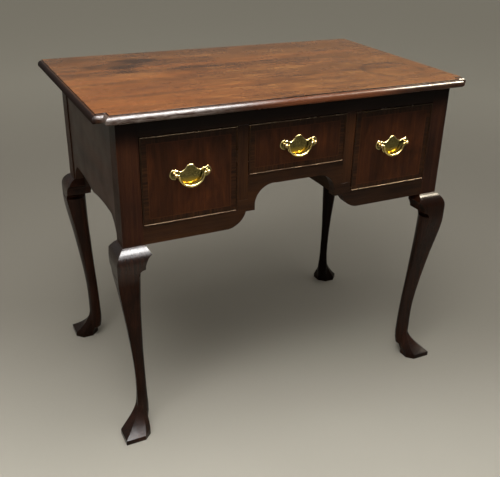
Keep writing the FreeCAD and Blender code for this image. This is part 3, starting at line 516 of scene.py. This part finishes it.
def make_materials():
    made = {
        "top": top_wood("top_mahogany"),
        "case_x": wood("case_mahogany_x", "X", RAIL_TONES, (0.9, 0.5, 0.3), worn=WORN_EDGE),
        "case_z": wood("case_mahogany_z", "Z", UPRIGHT_TONES, (0, 0.4, 0.2), worn=WORN_EDGE),
        "side": wood("side_mahogany", "Y", SIDE_TONES, (0.5, 0, 0.7), sheen=(0.32, 0.44), shine=0.16),
        "bead": wood("bead_mahogany", "X", LEG_TONES, (0.1, 0.6, 0), sheen=(0.20, 0.30), shine=0.26,
                     tint="ffdcae"),
        "stain_and_shadow": wood("stain_and_shadow_oak", "Y", STAIN_AND_SHADOW_TONES, (0.3, 0.2, 0), sheen=(0.5, 0.65)),
        "oak_y": wood("oak_inside_y", "Y", OAK_TONES, sheen=OAK_SHEEN),
        "aged": wood("aged_oak", "Y", AGED_TONES, (0.6, 0.1, 0), sheen=OAK_SHEEN),
        "oak_x": wood("oak_inside_x", "X", BROWN_OAK_TONES, sheen=OAK_SHEEN),
        "brass": brass("brass", ("dac684", "a08b54"), 0.14, 0.28),
        "posts": brass("brass_posts", ("c4a872", "7a6440"), 0.16, 0.32),
        "plate": brass("brass_plate", ("ecdca0", "b8a468"), 0.16, 0.30, ("7f7547", "3f381d", "a88d34")),
        "nuts": brass("brass_nuts", ("a8945a", "655530"), 0.3, 0.5),
    }
    for number, (leg, (tones, upper, shine)) in enumerate(LEGS.items()):
        made[f"leg_{leg}"] = wood(
            f"leg_mahogany_{leg}", "Z", tones, (0.7 * number, 0.3, 0), sheen=(0.16, 0.26),
            shine=shine, worn=WORN_LEG_EDGE, upper=upper)
    for number, side in enumerate(SIDES):
        made[f"front_{side}"] = drawer_wood(
            f"drawer_mahogany_{side}", f"drawer_{side}_front", (0.37 * number, 0.9 * number, 0.21 * number))
    return made


# ---------------------------------------------------------------- CAD nodes
# Widths of the softened edges of most pieces, of fine ones, of the top and of the legs.
SOFT_EDGE = 0.0005
FINE_EDGE = 0.0003
TOP_EDGE = 0.0006
LEG_EDGE = 0.0007


def dress(name, material, soften=SOFT_EDGE):
    """Give a CAD node its finish, and soft edges that catch the light."""
    piece = nodes[name]
    piece.data.materials.clear()
    piece.data.materials.append(material)
    for face in piece.data.polygons:
        face.use_smooth = True
    weld = piece.modifiers.new("weld", "WELD")
    weld.merge_threshold = 0.000005
    flatten = piece.modifiers.new("flatten", "DECIMATE")
    flatten.decimate_type = "DISSOLVE"
    flatten.angle_limit = math.radians(0.3)
    bevel = piece.modifiers.new("soft_edges", "BEVEL")
    bevel.width = soften
    bevel.segments = 2
    bevel.limit_method = "ANGLE"
    bevel.angle_limit = math.radians(32)
    bevel.miter_outer = "MITER_ARC"
    normal = piece.modifiers.new("normals", "WEIGHTED_NORMAL")
    normal.keep_sharp = True


def dress_case(made):
    dress("top_board", made["top"], TOP_EDGE)
    for name in ("apron", "top_rail"):
        dress(name, made["case_x"])
    for side in ("left", "right"):
        dress(f"divider_{side}", made["case_z"])
        dress(f"partition_{side}", made["stain_and_shadow"])
        dress(f"side_{side}", made["side"])
        for row in ("front", "back"):
            finish = made[f"leg_{row}_{side}"]
            dress(f"leg_{row}_{side}", finish, LEG_EDGE)
            dress(f"knee_ear_{row}_{side}_side", finish)
        dress(f"knee_ear_front_{side}_front", made[f"leg_front_{side}"])
    dress("back_board", made["oak_x"])
    for name in ("runners", "kickers", "guides", "drawer_stops", "glue_blocks"):
        dress(name, made["aged"])


def dress_drawers(made):
    for side in SIDES:
        name = f"drawer_{side}"
        dress(f"{name}_front", made[f"front_{side}"], FINE_EDGE)
        dress(f"{name}_cockbead", made["bead"], FINE_EDGE)
        for part in ("bottom", "side_left", "side_right"):
            dress(f"{name}_{part}", made["oak_y"])
        dress(f"{name}_back", made["oak_x"])
        dress(f"{name}_nuts", made["nuts"], FINE_EDGE)


# ---------------------------------------------------------------- brass handles
# Half of the bat-wing plate, from its lowest point to its peak, in mm from its centre.  A third
# value is the rise of the arc that leads to the point, to the left of its chord.
PLATE_HALF = [
    (0, -24), (16.64, -19.2, -1.2), (23.68, -9.98, -2.0), (27.52, -7.56), (33.05, -10.5, -1.6),
    (33.05, 9.13, -8.4), (28.8, 6.51), (23.68, 6.51, -0.8), (17.92, 4.41, 0.9),
    (7.68, 12.87, 1.2), (0, 16.5, -0.9),
]
# A plate's rim from the wall forward: how far in from the outline in mm, and at what share of the
# thickness.
PLATE_RIM = [(0.0, 0.0), (0.0, 0.35), (0.5, 0.80), (1.4, 1.0)]
# Distance between the points of a plate's arcs, in mm.
ARC_STEP = 1.2
# Half the distance between a handle's posts and the radii of their heads and stems, in mm.
POST_HALF = 32
HEAD = 4.6
STEM = 2.0
# How many rings make the round part of a post's head, and how many degrees they stand apart.
HEAD_RINGS = 15
HEAD_STEP = 9.6
# Radius of a post's collar and neck, and the distance behind the bail's axis, in mm.
COLLAR = [(3.0, 3.7), (3.7, 4.1), (3.7, 4.9), (2.8, 5.3), (2.8, 6.1)]
# Radius and thickness of a post's foot on the plate, in mm.
FOOT = 3.6
FOOT_EDGE = 0.3
# Half of the bail's line, in mm from the middle of its axis, from the end of its pin to its lowest
# point, with its radius at each point, and how many parts each piece of the line gets.
BAIL_HALF = [
    (30.8, 0, 1.4), (28.6, 0, 1.4), (26.6, -0.1, 1.5), (25.3, -1.2, 1.9), (24.8, -3.4, 1.8),
    (24.2, -6.5, 1.7), (22.9, -10.6, 1.7), (20.1, -15.3, 1.8), (15.5, -19.4, 2.1), (8.4, -23.0, 2.6),
    (0, -24.3, 2.7),
]
BAIL_PARTS = 4
# Sides of the round posts, bails and holes.
POST_SIDES = 28
BAIL_SIDES = 18
HOLE_SIDES = 24


def turns(count):
    """The angles of equal steps round a circle."""
    return [2 * math.pi * step / count for step in range(count)]


def arc_points(start, end, rise):
    """Points after start up to end, along the arc that stands rise to the left of its chord."""
    if not rise:
        return [end]
    chord = end - start
    span = chord.length
    radius = (span * span / 4 + rise * rise) / (2 * abs(rise))
    left = Vector((-chord.y, chord.x)) / span
    centre = (start + end) / 2 + left * (rise - math.copysign(radius, rise))
    first = start - centre
    turn = 4 * math.atan(2 * abs(rise) / span) * (-1 if rise > 0 else 1)
    count = max(3, round(abs(turn) * radius / ARC_STEP))
    points = []
    for index in range(1, count + 1):
        angle = turn * index / count
        points.append(centre + Vector((
            first.x * math.cos(angle) - first.y * math.sin(angle),
            first.x * math.sin(angle) + first.y * math.cos(angle))))
    return points


def plate_points():
    """The whole outline of a plate, anticlockwise as seen from the front."""
    half = []
    here = None
    for x, z, *rise in PLATE_HALF:
        target = Vector((x, z))
        half += arc_points(here, target, rise[0] if rise else 0.0) if here else [target]
        here = target
    return half + [Vector((-point.x, point.y)) for point in reversed(half[1:-1])]


def inset(points, distance):
    """The outline moved inwards by a distance."""
    moved = []
    for index, point in enumerate(points):
        before, after = points[index - 1], points[(index + 1) % len(points)]
        run = (after - before).normalized()
        moved.append(point + Vector((-run.y, run.x)) * distance)
    return moved


def hole(x):
    """The outline of a post's hole."""
    return [Vector((x + STEM * math.cos(turn), STEM * math.sin(turn))) for turn in turns(HOLE_SIDES)]


def finish_piece(name, work, material, body, node):
    """Turn a bmesh into a smooth piece that rides its body and stands for its CAD node."""
    bmesh.ops.recalc_face_normals(work, faces=work.faces)
    mesh = bpy.data.meshes.new(name)
    work.to_mesh(mesh)
    work.free()
    for face in mesh.polygons:
        face.use_smooth = True
    mesh.materials.append(material)
    piece = bpy.data.objects.new(name, mesh)
    bpy.context.scene.collection.objects.link(piece)
    normal = piece.modifiers.new("normals", "WEIGHTED_NORMAL")
    normal.keep_sharp = True
    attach(piece, body)
    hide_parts(node)


def bridge(work, first, second):
    """Faces between two rings of as many corners."""
    for index in range(len(first)):
        following = (index + 1) % len(first)
        work.faces.new((first[index], first[following], second[following], second[index]))


def sharpen(work, degrees):
    """Mark the edges that turn by more than some degrees."""
    work.normal_update()
    for edge in work.edges:
        if len(edge.link_faces) == 2 and edge.calc_face_angle() > math.radians(degrees):
            edge.smooth = False


def make_plate(side, x, z, wall, face, material):
    """A cast plate with a bevelled rim, pierced for its two posts."""
    work = bmesh.new()
    outline = plate_points()
    thick = wall - face

    def loop(points, y):
        return [work.verts.new((x + point.x * MM, y, z + point.y * MM)) for point in points]

    rings = [loop(inset(outline, inwards), wall - thick * share) for inwards, share in PLATE_RIM]
    for first, second in zip(rings, rings[1:]):
        bridge(work, first, second)
    holes = [[loop(hole(post), y) for y in (wall, face)] for post in (-POST_HALF, POST_HALF)]
    for back_ring, front_ring in holes:
        bridge(work, back_ring, front_ring)
    for level, edge in ((0, rings[0]), (1, rings[-1])):
        loops = [edge, holes[0][level], holes[1][level]]
        corners = [corner for ring in loops for corner in ring]
        for triple in tessellate_polygon([[corner.co for corner in ring] for ring in loops]):
            work.faces.new([corners[index] for index in triple])
    sharpen(work, 50)
    name = f"drawer_{side}"
    finish_piece(f"{name}_plate_brass", work, material, name, f"{name}_plate")


def post_section(axis_to_wall, axis_to_end):
    """(radius, distance behind the bail's axis) of a post: ball, collar, neck, foot and stem."""
    bends = [math.radians(index * HEAD_STEP) for index in range(HEAD_RINGS)]
    ball = [(HEAD * math.sin(turn), -HEAD * math.cos(turn)) for turn in bends]
    foot = [(FOOT, axis_to_wall - FOOT_EDGE), (FOOT, axis_to_wall)]
    return [*ball, *COLLAR, *foot, (STEM, axis_to_wall), (STEM, axis_to_end), (0, axis_to_end)]


def make_posts(side, x, z, axis_y, wall, end, material):
    """A drawer's two turned posts."""
    work = bmesh.new()
    section = post_section((wall - axis_y) / MM, (end - axis_y) / MM)
    for post in (-POST_HALF, POST_HALF):
        rings = []
        for radius, y in section[1:-1]:
            rings.append([work.verts.new((
                x + (post + radius * math.cos(turn)) * MM,
                axis_y + y * MM,
                z + radius * math.sin(turn) * MM)) for turn in turns(POST_SIDES)])
        for first, second in zip(rings, rings[1:]):
            bridge(work, first, second)
        for ring, (_, y) in ((rings[0], section[0]), (rings[-1], section[-1])):
            tip = work.verts.new((x + post * MM, axis_y + y * MM, z))
            for index in range(POST_SIDES):
                work.faces.new((ring[index], ring[(index + 1) % POST_SIDES], tip))
    sharpen(work, 40)
    name = f"drawer_{side}"
    finish_piece(f"{name}_posts_brass", work, material, name, f"{name}_posts")


def smooth_line(points):
    """Points along a smooth line through the given ones."""
    padded = [points[0] * 2 - points[1], *points, points[-1] * 2 - points[-2]]
    line = [points[0]]
    for a, b, c, d in zip(padded, padded[1:], padded[2:], padded[3:]):
        for index in range(1, BAIL_PARTS + 1):
            t = index / BAIL_PARTS
            line.append(0.5 * (2 * b + (c - a) * t + (2 * a - 5 * b + 4 * c - d) * t * t
                               + (3 * b - a - 3 * c + d) * t * t * t))
    return line


def make_bail(side, x, y, z, material):
    """The swinging handle, one bent rod with its pins turned outwards into the posts."""
    half = [Vector(point) for point in BAIL_HALF]
    line = smooth_line(half + [Vector((-u, v, r)) for u, v, r in reversed(half[:-1])])
    work = bmesh.new()
    backward = Vector((0, 1, 0))
    rings = []
    for index, point in enumerate(line):
        before = line[max(index - 1, 0)]
        after = line[min(index + 1, len(line) - 1)]
        run = Vector((after.x - before.x, 0, after.y - before.y)).normalized()
        across = run.cross(backward)
        centre = Vector((x + point.x * MM, y, z + point.y * MM))
        spokes = [backward * math.cos(turn) + across * math.sin(turn) for turn in turns(BAIL_SIDES)]
        rings.append([work.verts.new(centre + spoke * point.z * MM) for spoke in spokes])
    for first, second in zip(rings, rings[1:]):
        bridge(work, first, second)
    work.faces.new(rings[0])
    work.faces.new(rings[-1])
    sharpen(work, 50)
    finish_piece(f"bail_{side}_brass", work, material, f"bail_{side}", f"drawer_{side}_bail")


def make_handles(made):
    """The plate, posts and bail of each drawer, where their CAD nodes are."""
    for side in SIDES:
        plate_low, plate_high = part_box(f"drawer_{side}_plate")
        post_low, post_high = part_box(f"drawer_{side}_posts")
        x = (plate_low.x + plate_high.x) / 2
        z = (post_low.z + post_high.z) / 2
        axis_y = post_low.y + HEAD * MM
        make_plate(side, x, z, plate_high.y, plate_low.y, made["plate"])
        make_posts(side, x, z, axis_y, plate_low.y, post_high.y, made["posts"])
        make_bail(side, x, axis_y, z, made["brass"])


# ---------------------------------------------------------------- stage
FLOOR_RADIUS = 45.0
# The floor's tones away from the object, painted light that brightens it far off: where each one
# begins and is full.  The last one fades it into the world, so that no line shows between them.
FLOOR_GLOW_TONES = [(1.4, 3.2, "a09b8e"), (5.0, 14.0, "aaa599"), (12.0, 36.0, "bdbcbb")]


def soft_lamp(name, place, aim, size, radiance, shine_only=False, colour=(1.0, 1.0, 1.0)):
    """A softbox with an even radiance, aimed at a point."""
    width, height = size
    data = bpy.data.lights.new(name, "AREA")
    data.shape = "RECTANGLE"
    data.size = width
    data.size_y = height
    data.energy = radiance * math.pi * width * height
    data.color = colour
    lamp = bpy.data.objects.new(name, data)
    lamp.location = place
    lamp.rotation_euler = (Vector(aim) - Vector(place)).to_track_quat("-Z", "Y").to_euler()
    lamp.visible_diffuse = not shine_only
    bpy.context.scene.collection.objects.link(lamp)


def make_floor():
    """A pale cloth, with painted shade that darkens it towards the back and painted light that brightens it
    far off.
    """
    mesh = bpy.data.meshes.new("floor")
    work = bmesh.new()
    bmesh.ops.create_circle(work, cap_ends=True, segments=96, radius=FLOOR_RADIUS)
    work.to_mesh(mesh)
    work.free()
    floor = bpy.data.objects.new("floor", mesh)
    bpy.context.scene.collection.objects.link(floor)
    shader = Shader("floor")
    cloud = shader.noise(shader.stretch((1.3, 1.3, 1.3)), detail=3.0, roughness=0.5)
    place = shader.axes()
    far = shader.total((place["X"], 0.45), (place["Y"], 0.89))
    near = shader.ramp(cloud, [(0.3, "bbb6a9"), (0.7, "c3beb1")])
    # Painted shade: darker towards the back, where the light falls off.
    colour = shader.cover(near, shader.span(far, -0.7, 0.2, 0.0, 1.0, smooth=True), "878277")
    reach = shader.reach(0.0, 0.0, 1.0, 1.0)
    # Painted light: the floor is painted lighter far off.
    for begins, full, text in FLOOR_GLOW_TONES:
        colour = shader.cover(colour, shader.span(reach, begins, full, smooth=True), text)
    shader.set(shader.surface.inputs["Base Color"], colour)
    shader.surface.inputs["Roughness"].default_value = 0.85
    shader.surface.inputs["Specular IOR Level"].default_value = 0.0
    mesh.materials.append(shader.material)


def make_world():
    """Grey all round, brighter overhead."""
    world = bpy.data.worlds.new("studio")
    world.use_nodes = True
    tree = world.node_tree
    background = tree.nodes["Background"]
    place = tree.nodes.new("ShaderNodeTexCoord")
    split = tree.nodes.new("ShaderNodeSeparateXYZ")
    tree.links.new(place.outputs["Generated"], split.inputs[0])
    level = tree.nodes.new("ShaderNodeMapRange")
    tree.links.new(split.outputs["Z"], level.inputs["Value"])
    for name, value in (("From Min", 0.1), ("From Max", 0.9), ("To Min", 0.24), ("To Max", 0.58)):
        level.inputs[name].default_value = value
    tree.links.new(level.outputs["Result"], background.inputs["Strength"])
    background.inputs["Color"].default_value = (1.0, 0.985, 0.95, 1.0)
    bpy.context.scene.world = world


def make_stage():
    """A floor of pale cloth with painted shade and painted light on it, and soft studio light."""
    make_floor()
    make_world()
    soft_lamp("key", (-1.0, -1.3, 3.0), (0.0, 0.0, 0.5), (1.6, 1.2), 7.3)
    soft_lamp("overhead", (0.0, -0.5, 2.7), (0.0, -0.1, 0.0), (1.8, 1.4), 2.8)
    # These three show only as sheen on what is polished.
    soft_lamp("sheen_left", (0.55, -0.62, 3.0), (0.55, -0.24, 0.69), (0.80, 2.7), 62.0, shine_only=True)
    soft_lamp("sheen_right", (1.78, -0.75, 2.45), (1.78, -0.75, 0.0), (0.55, 0.6), 300.0,
              shine_only=True, colour=(1.0, 0.88, 0.68))
    soft_lamp("glow_front", (0.42, -2.00, 2.15), (-0.25, -0.25, 0.62), (0.9, 1.1), 11.0, shine_only=True)


make_camera()
made = make_materials()
dress_case(made)
dress_drawers(made)
make_handles(made)
make_stage()

bpy.context.scene.view_settings.view_transform = "Standard"
